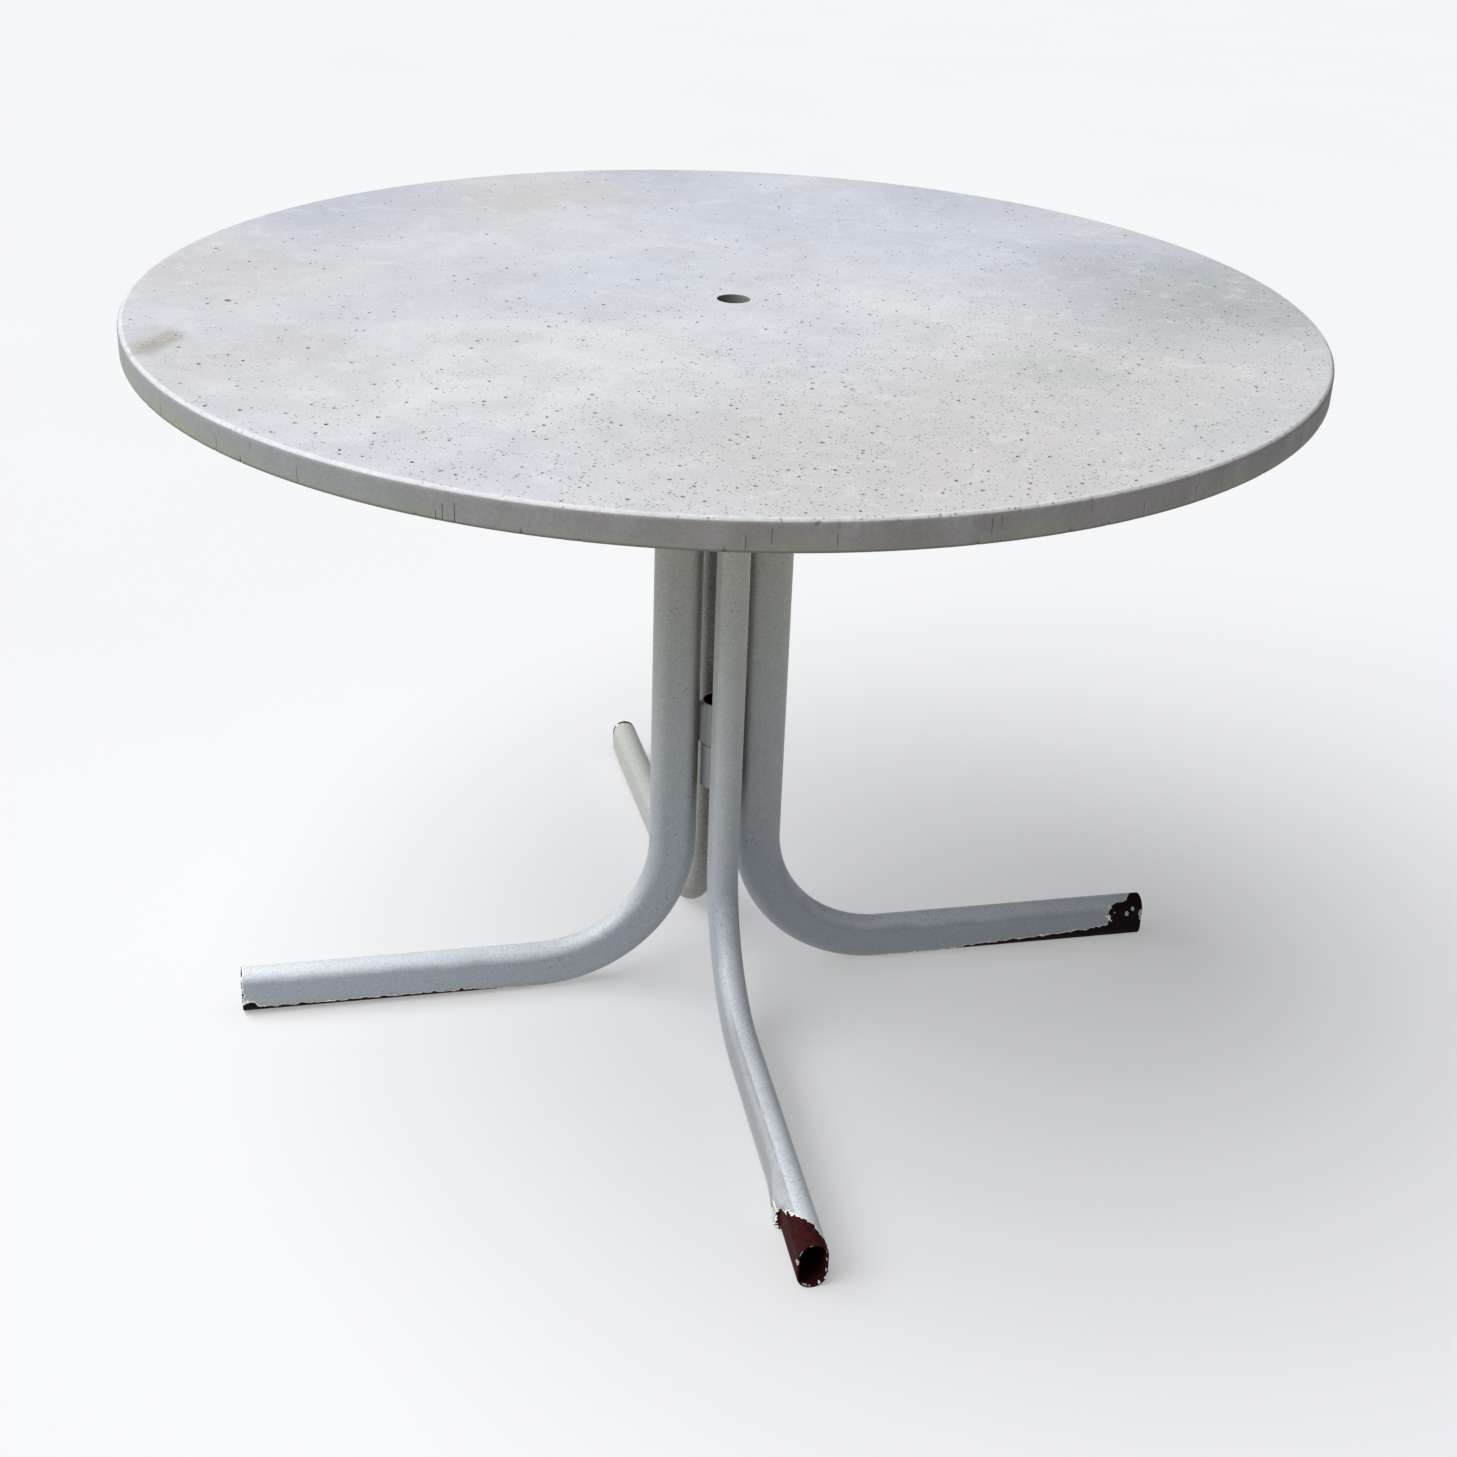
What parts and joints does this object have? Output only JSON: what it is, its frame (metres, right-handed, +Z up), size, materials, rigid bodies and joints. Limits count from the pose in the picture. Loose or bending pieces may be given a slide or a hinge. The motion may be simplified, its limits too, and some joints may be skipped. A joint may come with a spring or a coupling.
{
  "type": "round garden table",
  "caption": "Round picnic table: stone-look slab with a parasol hole on a folding pedestal of bent flat-oval tube legs, paint peeling and rusting at the open feet.",
  "frame": {"origin": "on the ground under the middle of the parasol hole, at the bottom centre of the bounding box", "axes": "+Z up along the pedestal's hinge axis; the fixed frame's legs run along X and the swing frame's legs along Y, with the front leg towards -Y"},
  "size_m": [1.1, 1.1, 0.75],
  "materials": {
    "slab": "matte",
    "frame_paint": "satin",
    "plated_steel": "satin",
    "insert_brass": "satin",
    "knob_plastic": "matte",
    "bush_nylon": "matte"
  },
  "bodies": {
    "fixed_frame": {"tabletop": "slab", "leg_left": "frame_paint", "leg_right": "frame_paint", "fixed_knuckle_lower": "frame_paint", "fixed_knuckle_upper": "frame_paint", "bracket_left": "frame_paint", "bracket_right": "frame_paint", "bolt_left": "plated_steel", "bolt_right": "plated_steel", "washer_left": "plated_steel", "washer_right": "plated_steel", "insert_left": "insert_brass", "insert_right": "insert_brass", "insert_front": "insert_brass", "insert_back": "insert_brass"},
    "swing_frame": {"leg_front": "frame_paint", "leg_back": "frame_paint", "swing_knuckle_lower": "frame_paint", "swing_knuckle_upper": "frame_paint", "hinge_bush_lower": "bush_nylon", "hinge_bush_upper": "bush_nylon", "bracket_front": "frame_paint", "bracket_back": "frame_paint"},
    "thumb_screw_front": {"stud_front": "plated_steel", "knob_front": "knob_plastic", "washer_front": "plated_steel"},
    "thumb_screw_back": {"stud_back": "plated_steel", "knob_back": "knob_plastic", "washer_back": "plated_steel"}
  },
  "joints": [
    {"name": "frame_fold", "type": "hinge", "parent": "fixed_frame", "child": "swing_frame", "pos_m": [0, 0, 0.28], "axis": [0, 0, 1], "range_deg": [0, 40]},
    {"name": "front_screw_turn", "type": "hinge", "parent": "fixed_frame", "child": "thumb_screw_front", "pos_m": [0, -0.292, 0.71], "axis": [0, 0, -1], "range_deg": [0, 540]},
    {"name": "back_screw_turn", "type": "hinge", "parent": "fixed_frame", "child": "thumb_screw_back", "pos_m": [0, 0.292, 0.71], "axis": [0, 0, -1], "range_deg": [0, 540]}
  ]
}
